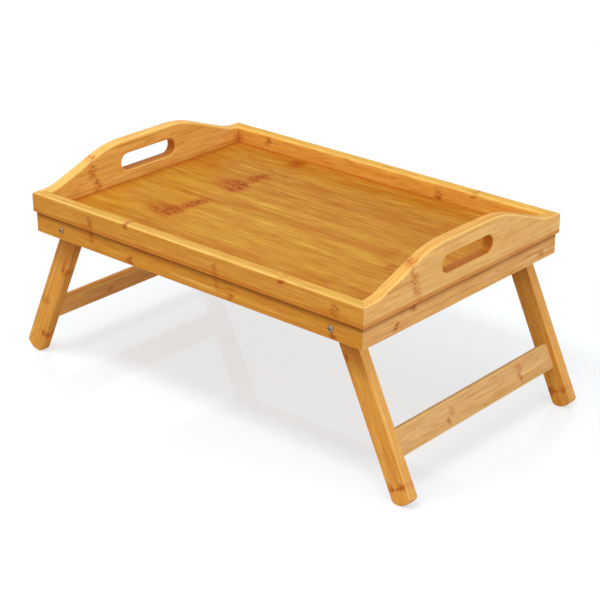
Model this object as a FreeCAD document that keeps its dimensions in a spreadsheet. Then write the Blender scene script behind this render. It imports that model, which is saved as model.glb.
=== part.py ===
# Bed tray table: a bamboo tray with two raised handle boards, carried by two folding leg pairs.
# Millimetres. +X runs along the tray to the right, +Y to the back and +Z up. The origin is on
# the surface that the toes stand on, under the middle of the tray.
import FreeCAD, Part
import os
import Sketcher

# ---------------------------------------------------------------- driving dimensions

SIZES = {
    # tray
    "tray_length": "500",           # over the outer faces of the two handle boards
    "tray_width": "350",            # over the outer faces of the front and back rails
    "rail_height": "24",
    "rail_thickness": "15",
    "edge_round": "3.5",            # rounding of the rails' and handle boards' top edges
    "panel_thickness": "3.5",
    "tongue_thickness": "2",        # thinner edge of the panel, held under the rails
    "tongue_reach": "4",
    "tongue_play": "0.2",           # room for the panel's edge to swell, above it and beside it
    # handle boards
    "handle_rise": "32",            # crown of the board over the rail top
    "sweep_inset": "13.2",          # from the tray's outer faces to where the sweep up begins
    "shoulder_radius": "130",
    "ramp_angle": "20",
    "foot_radius": "70",
    "slot_length": "90",
    "slot_height": "20.5",
    "slot_over_rail": "3.75",       # middle of the slot over the rail top
    "slot_round": "2.5",
    # aprons under the rails
    "apron_height": "25.5",
    "apron_thickness": "15",
    "apron_setback": "2.8",         # from the rails' outer faces
    "apron_round": "1",             # rounding of the aprons' lower edges
    # leg pairs
    "leg_width": "26",
    "leg_thickness": "14",
    "leg_reach": "201.9",           # from the pivot to the tip of the toe
    "leg_splay": "25",              # lean of an open leg from the vertical, in degrees
    "leg_round": "2",
    "head_corner": "3",             # rounding at the outer end of the leg's flat head
    "head_gap": "0.3",              # between the leg's head and the panel that stops it
    "toe_radius": "20",
    "toe_inner_corner": "7.5",
    "toe_outer_corner": "3",
    "pivot_inset": "45",            # from the tray's end to the pivot
    "stretcher_width": "31",
    "stretcher_thickness": "12",
    "stretcher_round": "5",
    "stretcher_drop": "139.8",      # from the pivot to the middle of the stretcher
    # pivot hardware
    "bolt_diameter": "4",
    "bolt_head_diameter": "8",
    "bolt_head_height": "2.4",
    "bolt_head_rim": "0.5",
    "bolt_tip_chamfer": "0.5",
    "bolt_tail": "1",               # end of the bolt past its nut
    "recess_length": "4.4",
    "recess_width": "0.9",
    "recess_depth": "1.3",
    "washer_diameter": "11",
    "washer_thickness": "1",
    "nut_flats": "7",
    "nut_height": "3.2",
    "nut_chamfer_angle": "30",
    "collar_diameter": "5.8",
    "collar_height": "0.9",
    "bore_clearance": "0.08",       # around the bolt, in every hole that it passes
    "side_play": "0.2",             # between a leg and the washer on each side of it
    # hidden joinery
    "key_width": "10",              # plate across each mitre
    "key_thickness": "2.5",
    "key_height": "16",
    "frame_dowel_diameter": "5",
    "frame_dowel_length": "24",
    "long_dowel_pitch": "160",      # three dowels in the front side and in the back side
    "end_dowel_pitch": "200",       # two dowels in each end
    "leg_dowel_diameter": "6",
    "leg_dowel_length": "20",
    "leg_dowel_depth": "8",         # the dowel's share in the leg
    "leg_dowel_pitch": "16",
    "dowel_chamfer": "0.6",
    "glue_gap": "0.1",              # around each key and dowel
    "end_gap": "0.5",               # past the end of each key and dowel
}

doc = FreeCAD.newDocument("BedTrayTable")
sheet = doc.addObject("Spreadsheet::Sheet", "Sizes")
for row, (alias, value) in enumerate(SIZES.items(), start=1):
    sheet.set(f"A{row}", alias)
    sheet.set(f"B{row}", value)
    sheet.setAlias(f"B{row}", alias)
doc.recompute()

# ---------------------------------------------------------------- levels and lines

HALF_LENGTH = "Sizes.tray_length / 2"
HALF_WIDTH = "Sizes.tray_width / 2"
PIVOT_Z = "((Sizes.leg_reach - Sizes.toe_radius) * cos(Sizes.leg_splay) + Sizes.toe_radius)"
PANEL_Z = f"({PIVOT_Z} + Sizes.leg_width / 2 + Sizes.head_gap)"
APRON_Z = f"({PANEL_Z} - Sizes.apron_height)"
PIVOT_X = f"({HALF_LENGTH} - Sizes.pivot_inset)"
APRON_FACE_Y = f"({HALF_WIDTH} - Sizes.apron_setback)"
LEG_OUTER_Y = f"({APRON_FACE_Y} - Sizes.apron_thickness - Sizes.washer_thickness - Sizes.side_play)"
LEG_INNER_Y = f"({LEG_OUTER_Y} - Sizes.leg_thickness)"
LEG_MIDDLE_Y = f"({LEG_OUTER_Y} - Sizes.leg_thickness / 2)"
BORE = "(Sizes.bolt_diameter + 2 * Sizes.bore_clearance)"

# Depth of the pivot hardware, inwards from the apron's outer face.
SPACER_DEPTH = "Sizes.apron_thickness"
INNER_WASHER_DEPTH = (
    f"({SPACER_DEPTH} + Sizes.washer_thickness + Sizes.leg_thickness + 2 * Sizes.side_play)"
)
NUT_DEPTH = f"({INNER_WASHER_DEPTH} + Sizes.washer_thickness)"
BOLT_LENGTH = f"({NUT_DEPTH} + Sizes.nut_height + Sizes.collar_height + Sizes.bolt_tail)"


class Frame:
    """One ring of four mitred sides: its half sizes, the sides' section, its foot and its keys."""

    def __init__(self, setback, thickness, height, base_z, key_foot):
        self.half_length = f"({HALF_LENGTH} - {setback})"
        self.half_width = f"({HALF_WIDTH} - {setback})"
        self.thickness = thickness
        self.height = height
        self.base_z = base_z
        self.key_foot = key_foot


UPPER = Frame(
    "0", "Sizes.rail_thickness", "Sizes.rail_height", PANEL_Z,
    "((Sizes.rail_height + Sizes.tongue_thickness - Sizes.key_height) / 2)",
)
LOWER = Frame(
    "Sizes.apron_setback", "Sizes.apron_thickness", "Sizes.apron_height", APRON_Z,
    "((Sizes.apron_height - Sizes.key_height) / 2)",
)

# ---------------------------------------------------------------- helpers

NEAR = 1e-4
sub_parts = []


def size(expression):
    """Value of an expression over the sheet."""
    return float(sheet.evalExpression(expression))


def new_body(label, turn, across, along, up, pitch="0"):
    """Body with its own label and a placement tied to the sheet; turn is 0 or 180 degrees about Z."""
    body = doc.addObject("PartDesign::Body", label)
    body.Label = label
    body.AllowCompound = True
    body.setExpression("Placement.Base.x", across)
    body.setExpression("Placement.Base.y", along)
    body.setExpression("Placement.Base.z", up)
    body.setExpression("Placement.Rotation", f"rotation({turn}; {pitch}; 0)")
    sub_parts.append(body)
    return body


def new_sketch(body, name, role, offset="0"):
    """Sketch on one of the body's own origin planes, moved along the plane's normal by offset."""
    sketch = body.newObject("Sketcher::SketchObject", name)
    plane = next(feature for feature in body.Origin.OriginFeatures if feature.Role == role)
    sketch.AttachmentSupport = [(plane, "")]
    sketch.MapMode = "FlatFace"
    sketch.setExpression("AttachmentOffset.Base.z", offset)
    return sketch


def bind(sketch, constraint, expression):
    """Add a dimension to a sketch and tie it to the sheet."""
    index = sketch.addConstraint(constraint)
    sketch.setExpression(f"Constraints[{index}]", expression)


def pin(sketch, geometry, point, across, up):
    """Tie both coordinates of one point of a sketch's geometry to the sheet."""
    bind(sketch, Sketcher.Constraint("DistanceX", -1, 1, geometry, point, size(across)), across)
    bind(sketch, Sketcher.Constraint("DistanceY", -1, 1, geometry, point, size(up)), up)


def polygon(sketch, corners):
    """Closed outline of straight sides, with every corner tied to the sheet."""
    points = [FreeCAD.Vector(size(across), size(up), 0) for across, up in corners]
    ends = points[1:] + points[:1]
    sides = [sketch.addGeometry(Part.LineSegment(start, end)) for start, end in zip(points, ends)]
    for side, following in zip(sides, sides[1:] + sides[:1]):
        sketch.addConstraint(Sketcher.Constraint("Coincident", side, 2, following, 1))
    for side, (across, up) in zip(sides, corners):
        pin(sketch, side, 1, across, up)


def rectangle(sketch, left, right, low, high):
    polygon(sketch, [(left, low), (right, low), (right, high), (left, high)])


def circle(sketch, across, up, diameter):
    centre = FreeCAD.Vector(size(across), size(up), 0)
    ring = sketch.addGeometry(Part.Circle(centre, FreeCAD.Vector(0, 0, 1), size(diameter) / 2))
    pin(sketch, ring, 3, across, up)
    bind(sketch, Sketcher.Constraint("Diameter", ring, size(diameter)), diameter)


def line(sketch, start, end):
    """Straight side between two points given as expressions; returns its number in the sketch."""
    start_point = FreeCAD.Vector(size(start[0]), size(start[1]), 0)
    end_point = FreeCAD.Vector(size(end[0]), size(end[1]), 0)
    return sketch.addGeometry(Part.LineSegment(start_point, end_point))


def arc(sketch, centre, radius, first_angle, last_angle):
    """Arc drawn anticlockwise between two angles in degrees, all given as expressions."""
    middle = FreeCAD.Vector(size(centre[0]), size(centre[1]), 0)
    ring = Part.Circle(middle, FreeCAD.Vector(0, 0, 1), size(radius))
    first = size(f"({first_angle}) * pi / 180")
    last = size(f"({last_angle}) * pi / 180")
    return sketch.addGeometry(Part.ArcOfCircle(ring, first, last))


def join(sketch, kind, first, first_point, second, second_point):
    """Join two ends, Tangent or Coincident."""
    sketch.addConstraint(Sketcher.Constraint(kind, first, first_point, second, second_point))


def pad(body, sketch, length, symmetric=False, reverse=False):
    feature = body.newObject("PartDesign::Pad", sketch.Name + "Pad")
    feature.Profile = sketch
    feature.setExpression("Length", length)
    feature.SideType = "Symmetric" if symmetric else "One side"
    feature.Reversed = reverse
    doc.recompute()


def pocket(body, sketch, depth=None, symmetric=False, reverse=False):
    """Cut a sketch out of the body, all the way through unless a depth is given."""
    before = body.Shape.Volume
    feature = body.newObject("PartDesign::Pocket", sketch.Name + "Pocket")
    feature.Profile = sketch
    feature.SideType = "Symmetric" if symmetric else "One side"
    feature.Reversed = reverse
    if depth:
        feature.setExpression("Length", depth)
    else:
        feature.Type = "ThroughAll"
    doc.recompute()
    if body.Shape.Volume > before - NEAR:
        raise RuntimeError(f"{feature.Name} in {body.Label} takes nothing away")


def dress(body, kind, dimension, expression, wanted):
    """Fillet or chamfer the edges of the body's last feature that the test wanted() picks."""
    base = body.Tip
    names = [f"Edge{number}" for number, edge in enumerate(base.Shape.Edges, start=1) if wanted(edge)]
    feature = body.newObject(f"PartDesign::{kind}", f"{body.Name}{kind}")
    feature.Base = (base, names)
    feature.setExpression(dimension, expression)
    doc.recompute()


def round_edges(body, radius, wanted):
    dress(body, "Fillet", "Radius", radius, wanted)


def chamfer_edges(body, width, wanted):
    dress(body, "Chamfer", "Size", width, wanted)


def spans(edge, axis):
    """Length of an edge's box along one axis, 0, 1 or 2."""
    box = edge.BoundBox
    return (box.XLength, box.YLength, box.ZLength)[axis]


# ---------------------------------------------------------------- joinery shared by the frames


def key_plan(sketch, frame, end, side, gap="0"):
    """Plan of the plate across the mitre at one corner; end and side are 1 or -1."""
    middle_x = f"{end} * ({frame.half_length} - {frame.thickness} / 2)"
    middle_y = f"{side} * ({frame.half_width} - {frame.thickness} / 2)"
    reach = f"(Sizes.key_width / 2 + {gap})"
    half = f"(Sizes.key_thickness / 2 + {gap})"
    corners = []
    for across, through in ((-1, -1), (1, -1), (1, 1), (-1, 1)):
        offset_x = f"({across} * {reach} + {through} * {half}) * cos(45)"
        offset_y = f"({through} * {half} - {across} * {reach}) * cos(45)"
        corners.append((f"{middle_x} + {end} * {offset_x}", f"{middle_y} + {side} * {offset_y}"))
    polygon(sketch, corners)


def key_sockets(body, frame, corners):
    """Mortises for the mitre plates at the given corners of one side of a frame."""
    sketch = new_sketch(body, "KeySockets", "XY_Plane", f"{frame.key_foot} - Sizes.end_gap")
    for end, side in corners:
        key_plan(sketch, frame, end, side, "Sizes.glue_gap")
    pocket(body, sketch, "Sizes.key_height + 2 * Sizes.end_gap", reverse=True)


def mitre_ends(body, frame, corners, keep_long):
    """Cut both ends at 45 degrees; keep_long says whether the side runs along X."""
    sketch = new_sketch(body, "Mitres", "XY_Plane")
    for end, side in corners:
        outer = (f"{end} * {frame.half_length}", f"{side} * {frame.half_width}")
        inner = (
            f"{end} * ({frame.half_length} - {frame.thickness})",
            f"{side} * ({frame.half_width} - {frame.thickness})",
        )
        cut_corner = (outer[0], inner[1]) if keep_long else (inner[0], outer[1])
        polygon(sketch, [outer, inner, cut_corner])
    pocket(body, sketch, reverse=True)


# The dowels stand midway between the aprons' outer faces and the rebate for the panel's tongue.
REBATE_DEPTH = "(Sizes.tongue_reach + Sizes.tongue_play)"
DOWEL_INSET = f"(Sizes.rail_thickness - {REBATE_DEPTH} + Sizes.apron_setback) / 2"
LONG_DOWEL_LINE = f"({HALF_WIDTH} - {DOWEL_INSET})"
END_DOWEL_LINE = f"({HALF_LENGTH} - {DOWEL_INSET})"
LONG_DOWELS = [f"{step} * Sizes.long_dowel_pitch" for step in (-1, 0, 1)]
END_DOWELS = [f"{step} * Sizes.end_dowel_pitch / 2" for step in (-1, 1)]
FRONT_SPOTS = [(across, f"-1 * {LONG_DOWEL_LINE}") for across in LONG_DOWELS]
RIGHT_SPOTS = [(END_DOWEL_LINE, along) for along in END_DOWELS]


def dowel_sockets(body, spots, face_z, upwards):
    """Blind holes for the dowels between a rail and its apron."""
    sketch = new_sketch(body, "DowelSockets", "XY_Plane", face_z)
    for across, along in spots:
        circle(sketch, across, along, "Sizes.frame_dowel_diameter + 2 * Sizes.glue_gap")
    pocket(body, sketch, "Sizes.frame_dowel_length / 2 + Sizes.end_gap", reverse=upwards)


REBATE_HEIGHT = "Sizes.tongue_thickness + Sizes.tongue_play"
SLOT_Z = "(Sizes.rail_height + Sizes.slot_over_rail)"
FRONT_CORNERS = ((1, -1), (-1, -1))
RIGHT_CORNERS = ((1, 1), (1, -1))

# ---------------------------------------------------------------- upper frame


def long_rail(label, turn):
    """Front or back rail, drawn at the front of the tray."""
    body = new_body(label, turn, "0", "0", UPPER.base_z)
    inner = f"-1 * ({HALF_WIDTH} - Sizes.rail_thickness)"
    section = new_sketch(body, "Section", "YZ_Plane")
    rectangle(section, f"-1 * {HALF_WIDTH}", inner, "0", "Sizes.rail_height")
    pad(body, section, "Sizes.tray_length", symmetric=True)
    top = size("Sizes.rail_height")
    round_edges(
        body, "Sizes.edge_round",
        lambda edge: edge.BoundBox.ZMin > top - NEAR and spans(edge, 0) > NEAR,
    )
    mitre_ends(body, UPPER, FRONT_CORNERS, keep_long=True)
    rebate = new_sketch(body, "Rebate", "YZ_Plane")
    rectangle(rebate, f"{inner} - {REBATE_DEPTH}", inner, "0", REBATE_HEIGHT)
    pocket(body, rebate, symmetric=True)
    key_sockets(body, UPPER, FRONT_CORNERS)
    dowel_sockets(body, FRONT_SPOTS, "0", upwards=True)


def board_outline(sketch):
    """Handle board seen from the end of the tray: level crown, rounded shoulders and swept feet."""
    crown_z = "(Sizes.rail_height + Sizes.handle_rise)"
    foot_height = "(Sizes.foot_radius * (1 - cos(Sizes.ramp_angle)))"
    foot_end_y = f"({HALF_WIDTH} - Sizes.sweep_inset)"
    ramp_end = (
        f"({foot_end_y} - Sizes.foot_radius * sin(Sizes.ramp_angle))",
        f"(Sizes.rail_height + {foot_height})",
    )
    shoulder_z = f"({crown_z} - Sizes.shoulder_radius * (1 - cos(Sizes.ramp_angle)))"
    ramp_drop = f"({shoulder_z} - {ramp_end[1]})"
    shoulder_end = (f"({ramp_end[0]} - {ramp_drop} / tan(Sizes.ramp_angle))", shoulder_z)
    crown_y = f"({shoulder_end[0]} - Sizes.shoulder_radius * sin(Sizes.ramp_angle))"
    base = line(sketch, (f"-1 * {HALF_WIDTH}", "0"), (HALF_WIDTH, "0"))
    crown = line(sketch, (f"-1 * {crown_y}", crown_z), (crown_y, crown_z))
    pin(sketch, base, 1, f"-1 * {HALF_WIDTH}", "0")
    pin(sketch, base, 2, HALF_WIDTH, "0")
    pin(sketch, crown, 1, f"-1 * {crown_y}", crown_z)
    pin(sketch, crown, 2, crown_y, crown_z)
    for hand, end in ((1, 2), (-1, 1)):
        start, stop = (1, 2) if hand > 0 else (2, 1)
        corner = (f"{hand} * {HALF_WIDTH}", "Sizes.rail_height")
        side = line(sketch, (f"{hand} * {HALF_WIDTH}", "0"), corner)
        flat = line(sketch, corner, (f"{hand} * {foot_end_y}", "Sizes.rail_height"))
        foot = arc(
            sketch, (f"{hand} * {foot_end_y}", "Sizes.rail_height + Sizes.foot_radius"),
            "Sizes.foot_radius",
            "270 - Sizes.ramp_angle" if hand > 0 else "270",
            "270" if hand > 0 else "270 + Sizes.ramp_angle",
        )
        ramp = line(
            sketch,
            (f"{hand} * {ramp_end[0]}", ramp_end[1]),
            (f"{hand} * {shoulder_end[0]}", shoulder_end[1]),
        )
        shoulder = arc(
            sketch, (f"{hand} * {crown_y}", f"{crown_z} - Sizes.shoulder_radius"),
            "Sizes.shoulder_radius",
            "90 - Sizes.ramp_angle" if hand > 0 else "90",
            "90" if hand > 0 else "90 + Sizes.ramp_angle",
        )
        join(sketch, "Coincident", base, end, side, 1)
        join(sketch, "Coincident", side, 2, flat, 1)
        join(sketch, "Tangent", flat, 2, foot, stop)
        join(sketch, "Tangent", foot, start, ramp, 1)
        join(sketch, "Tangent", ramp, 2, shoulder, start)
        join(sketch, "Tangent", shoulder, stop, crown, end)
        pin(sketch, side, 2, *corner)
        sketch.addConstraint(Sketcher.Constraint("Horizontal", flat))
        radius = size("Sizes.foot_radius")
        bind(sketch, Sketcher.Constraint("Radius", foot, radius), "Sizes.foot_radius")
        radius = size("Sizes.shoulder_radius")
        bind(sketch, Sketcher.Constraint("Radius", shoulder, radius), "Sizes.shoulder_radius")
        bind(sketch, Sketcher.Constraint("DistanceY", ramp, 1, ramp, 2, size(ramp_drop)), ramp_drop)


def slot_outline(sketch):
    """Round-ended finger slot, in the plane of the handle board."""
    radius = "Sizes.slot_height / 2"
    centre_y = f"(Sizes.slot_length / 2 - {radius})"
    ends = []
    for hand, first_angle in ((1, "-90"), (-1, "90")):
        centre = (f"{hand} * {centre_y}", SLOT_Z)
        ends.append(arc(sketch, centre, radius, first_angle, f"{first_angle} + 180"))
        pin(sketch, ends[-1], 3, *centre)
        bind(sketch, Sketcher.Constraint("Radius", ends[-1], size(radius)), radius)
    high = f"{SLOT_Z} + {radius}"
    low = f"{SLOT_Z} - {radius}"
    top = line(sketch, (centre_y, high), (f"-1 * {centre_y}", high))
    bottom = line(sketch, (f"-1 * {centre_y}", low), (centre_y, low))
    join(sketch, "Tangent", ends[0], 2, top, 1)
    join(sketch, "Tangent", top, 2, ends[1], 1)
    join(sketch, "Tangent", ends[1], 2, bottom, 1)
    join(sketch, "Tangent", bottom, 2, ends[0], 1)


def handle_board(label, turn):
    """Raised end of the tray, drawn at the right."""
    body = new_body(label, turn, "0", "0", UPPER.base_z)
    inner = f"({HALF_LENGTH} - Sizes.rail_thickness)"
    outline = new_sketch(body, "Outline", "YZ_Plane", inner)
    board_outline(outline)
    pad(body, outline, "Sizes.rail_thickness")
    top = size("Sizes.rail_height")
    round_edges(
        body, "Sizes.edge_round",
        lambda edge: edge.BoundBox.ZMin > top - NEAR and spans(edge, 0) < NEAR,
    )
    slot = new_sketch(body, "Slot", "YZ_Plane", inner)
    slot_outline(slot)
    pocket(body, slot, reverse=True)
    slot_end = size("Sizes.slot_length / 2")
    slot_top = size(f"{SLOT_Z} + Sizes.slot_height / 2")
    slot_foot = size(f"{SLOT_Z} - Sizes.slot_height / 2")

    def on_slot(edge):
        box = edge.BoundBox
        level = box.ZMin > slot_foot - NEAR and box.ZMax < slot_top + NEAR
        return level and abs(box.Center.y) < slot_end and spans(edge, 0) < NEAR

    round_edges(body, "Sizes.slot_round", on_slot)
    mitre_ends(body, UPPER, RIGHT_CORNERS, keep_long=False)
    rebate = new_sketch(body, "Rebate", "XZ_Plane")
    rectangle(rebate, inner, f"{inner} + {REBATE_DEPTH}", "0", REBATE_HEIGHT)
    pocket(body, rebate, symmetric=True)
    key_sockets(body, UPPER, RIGHT_CORNERS)
    dowel_sockets(body, RIGHT_SPOTS, "0", upwards=True)


# ---------------------------------------------------------------- panel and lower frame


def tray_panel(label):
    """Floor of the tray; its thin edge lies on the aprons and runs under the rails."""
    body = new_body(label, "0", "0", "0", PANEL_Z)
    inner_x = f"({HALF_LENGTH} - Sizes.rail_thickness)"
    inner_y = f"({HALF_WIDTH} - Sizes.rail_thickness)"
    layers = (
        ("Tongue", "0", "Sizes.tongue_thickness", "Sizes.tongue_reach"),
        ("Field", "Sizes.tongue_thickness", "Sizes.panel_thickness - Sizes.tongue_thickness",
         "-1 * Sizes.tongue_play"),
    )
    for name, foot, thickness, reach in layers:
        sketch = new_sketch(body, name, "XY_Plane", foot)
        rectangle(
            sketch,
            f"-1 * ({inner_x} + {reach})", f"{inner_x} + {reach}",
            f"-1 * ({inner_y} + {reach})", f"{inner_y} + {reach}",
        )
        pad(body, sketch, thickness)


def lower_edges(edge):
    """Long edges at the foot of an apron."""
    return edge.BoundBox.ZMax < NEAR and edge.Length > size("2 * Sizes.apron_thickness")


def long_apron(label, turn):
    """Front or back apron, drawn at the front, with the bores of its two pivot bolts."""
    body = new_body(label, turn, "0", "0", LOWER.base_z)
    section = new_sketch(body, "Section", "YZ_Plane")
    outer = f"-1 * {APRON_FACE_Y}"
    rectangle(section, outer, f"{outer} + Sizes.apron_thickness", "0", "Sizes.apron_height")
    pad(body, section, f"2 * {LOWER.half_length}", symmetric=True)
    round_edges(body, "Sizes.apron_round", lower_edges)
    mitre_ends(body, LOWER, FRONT_CORNERS, keep_long=True)
    key_sockets(body, LOWER, FRONT_CORNERS)
    dowel_sockets(body, FRONT_SPOTS, "Sizes.apron_height", upwards=False)
    bores = new_sketch(body, "PivotBores", "XZ_Plane")
    for end in (1, -1):
        circle(bores, f"{end} * {PIVOT_X}", f"{PIVOT_Z} - {APRON_Z}", BORE)
    pocket(body, bores, symmetric=True)


def end_apron(label, turn):
    """Apron under a handle board, drawn at the right."""
    body = new_body(label, turn, "0", "0", LOWER.base_z)
    section = new_sketch(body, "Section", "XZ_Plane")
    outer = LOWER.half_length
    rectangle(section, f"{outer} - Sizes.apron_thickness", outer, "0", "Sizes.apron_height")
    pad(body, section, f"2 * {APRON_FACE_Y}", symmetric=True)
    round_edges(body, "Sizes.apron_round", lower_edges)
    mitre_ends(body, LOWER, RIGHT_CORNERS, keep_long=False)
    key_sockets(body, LOWER, RIGHT_CORNERS)
    dowel_sockets(body, RIGHT_SPOTS, "Sizes.apron_height", upwards=False)


def corner_keys(label, frame):
    """Four plates across the mitres of a frame."""
    body = new_body(label, "0", "0", "0", f"{frame.base_z} + {frame.key_foot}")
    plan = new_sketch(body, "Plates", "XY_Plane")
    for end in (1, -1):
        for side in (1, -1):
            key_plan(plan, frame, end, side)
    pad(body, plan, "Sizes.key_height")


def frame_dowels(label):
    """Dowels that pin the rails and handle boards to the aprons."""
    body = new_body(label, "0", "0", "0", PANEL_Z)
    plan = new_sketch(body, "Rings", "XY_Plane")
    for turn in (1, -1):
        for across, along in FRONT_SPOTS + RIGHT_SPOTS:
            circle(plan, f"{turn} * {across}", f"{turn} * {along}", "Sizes.frame_dowel_diameter")
    pad(body, plan, "Sizes.frame_dowel_length", symmetric=True)
    chamfer_edges(body, "Sizes.dowel_chamfer", lambda edge: spans(edge, 2) < NEAR)


# ---------------------------------------------------------------- leg pairs

# A leg pair is drawn with its pivot at the origin and its legs down -Z; +X is the outer edge.
# The left pair is the right one turned half round.
HALF_LEG = "Sizes.leg_width / 2"
LEG_DOWEL_LEVELS = [
    f"-1 * Sizes.stretcher_drop + {step} * Sizes.leg_dowel_pitch / 2" for step in (-1, 1)
]


def half_turn(end):
    """Degrees about Z that bring a piece drawn for the right end to this end."""
    return "0" if end > 0 else "180"


def leg_outline(sketch):
    """Leg seen from the front: round head with a flat that meets the panel, and a bowed toe."""
    toe_z = "-1 * (Sizes.leg_reach - Sizes.toe_radius)"
    toe_angle = f"(acos({HALF_LEG} / Sizes.toe_radius) / 1 deg)"
    toe_side_z = f"({toe_z} - Sizes.toe_radius * sin({toe_angle}))"
    flat_start = (f"{HALF_LEG} * sin(Sizes.leg_splay)", f"{HALF_LEG} * cos(Sizes.leg_splay)")
    flat_end = (HALF_LEG, f"{HALF_LEG} * (1 - sin(Sizes.leg_splay)) / cos(Sizes.leg_splay)")
    head = arc(sketch, ("0", "0"), HALF_LEG, "90 - Sizes.leg_splay", "180")
    inner = line(sketch, (f"-1 * {HALF_LEG}", "0"), (f"-1 * {HALF_LEG}", toe_side_z))
    toe = arc(sketch, ("0", toe_z), "Sizes.toe_radius", f"180 + {toe_angle}", f"360 - {toe_angle}")
    outer = line(sketch, (HALF_LEG, toe_side_z), flat_end)
    flat = line(sketch, flat_end, flat_start)
    pin(sketch, head, 3, "0", "0")
    join(sketch, "Tangent", head, 2, inner, 1)
    join(sketch, "Coincident", inner, 2, toe, 1)
    join(sketch, "Coincident", toe, 2, outer, 1)
    join(sketch, "Coincident", outer, 2, flat, 1)
    join(sketch, "Tangent", flat, 2, head, 1)
    pin(sketch, inner, 2, f"-1 * {HALF_LEG}", toe_side_z)
    pin(sketch, outer, 1, HALF_LEG, toe_side_z)
    pin(sketch, flat, 1, *flat_end)
    bind(sketch, Sketcher.Constraint("Radius", toe, size("Sizes.toe_radius")), "Sizes.toe_radius")
    sketch.addConstraint(Sketcher.Constraint("Vertical", inner))


def leg(label, end, side):
    """One leg, with the bore of its pivot bolt and the sockets of its stretcher."""
    body = new_body(
        label, half_turn(end), f"{end} * {PIVOT_X}", f"{side} * {LEG_MIDDLE_Y}", PIVOT_Z,
        pitch="-Sizes.leg_splay",
    )
    outline = new_sketch(body, "Outline", "XZ_Plane")
    leg_outline(outline)
    pad(body, outline, "Sizes.leg_thickness", symmetric=True)
    toe_end = size("-1 * (Sizes.leg_reach - Sizes.toe_radius)")
    across = size("Sizes.leg_thickness") - NEAR
    for hand, corner in ((-1, "Sizes.toe_inner_corner"), (1, "Sizes.toe_outer_corner")):
        round_edges(
            body, corner,
            lambda edge: edge.BoundBox.ZMax < toe_end and hand * edge.BoundBox.XMin > NEAR
            and spans(edge, 1) > across,
        )
    round_edges(
        body, "Sizes.head_corner",
        lambda edge: edge.BoundBox.ZMin > NEAR and edge.BoundBox.XMin > size(HALF_LEG) - NEAR
        and spans(edge, 1) > across,
    )
    round_edges(body, "Sizes.leg_round", lambda edge: spans(edge, 1) < NEAR)
    bore = new_sketch(body, "PivotBore", "XZ_Plane")
    circle(bore, "0", "0", BORE)
    pocket(body, bore, symmetric=True)
    inward = -side * end
    sockets = new_sketch(body, "StretcherSockets", "XZ_Plane", f"{-inward} * Sizes.leg_thickness / 2")
    for level in LEG_DOWEL_LEVELS:
        circle(sockets, "0", level, "Sizes.leg_dowel_diameter + 2 * Sizes.glue_gap")
    pocket(body, sockets, "Sizes.leg_dowel_depth + Sizes.end_gap", reverse=inward > 0)


def stretcher(label, end):
    """Flat bar between the two legs of a pair."""
    body = new_body(
        label, half_turn(end), f"{end} * {PIVOT_X}", "0", PIVOT_Z, pitch="-Sizes.leg_splay"
    )
    section = new_sketch(body, "Section", "XZ_Plane")
    half = "Sizes.stretcher_thickness / 2"
    rectangle(
        section, f"-1 * {half}", half,
        "-1 * (Sizes.stretcher_drop + Sizes.stretcher_width / 2)",
        "-1 * (Sizes.stretcher_drop - Sizes.stretcher_width / 2)",
    )
    pad(body, section, f"2 * {LEG_INNER_Y}", symmetric=True)
    long_side = size(LEG_INNER_Y)
    round_edges(body, "Sizes.stretcher_round", lambda edge: spans(edge, 1) > long_side)
    for face in (1, -1):
        sockets = new_sketch(body, "Sockets", "XZ_Plane", f"{-face} * {LEG_INNER_Y}")
        for level in LEG_DOWEL_LEVELS:
            circle(sockets, "0", level, "Sizes.leg_dowel_diameter + 2 * Sizes.glue_gap")
        depth = "Sizes.leg_dowel_length - Sizes.leg_dowel_depth + Sizes.end_gap"
        pocket(body, sockets, depth, reverse=face > 0)


def stretcher_dowels(label, end):
    """Two dowels at each end of a stretcher."""
    body = new_body(
        label, half_turn(end), f"{end} * {PIVOT_X}", "0", PIVOT_Z, pitch="-Sizes.leg_splay"
    )
    for face in (1, -1):
        tips = f"{-face} * ({LEG_INNER_Y} + Sizes.leg_dowel_depth)"
        rings = new_sketch(body, "Rings", "XZ_Plane", tips)
        for level in LEG_DOWEL_LEVELS:
            circle(rings, "0", level, "Sizes.leg_dowel_diameter")
        pad(body, rings, "Sizes.leg_dowel_length", reverse=face < 0)
    chamfer_edges(body, "Sizes.dowel_chamfer", lambda edge: spans(edge, 1) < NEAR)


# ---------------------------------------------------------------- pivot hardware


def hardware_body(label, end, side, depth):
    """Body on a pivot's axis, drawn with +Y inwards from the given depth in the apron."""
    turn = "0" if side < 0 else "180"
    along = f"{side} * ({APRON_FACE_Y} - {depth})"
    return new_body(label, turn, f"{end} * {PIVOT_X}", along, PIVOT_Z)


def revolve(body, sketch):
    """Turn a half section about its sketch's horizontal axis."""
    feature = body.newObject("PartDesign::Revolution", sketch.Name + "Turned")
    feature.Profile = sketch
    feature.ReferenceAxis = (sketch, ["H_Axis"])
    feature.Angle = 360
    doc.recompute()


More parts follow.
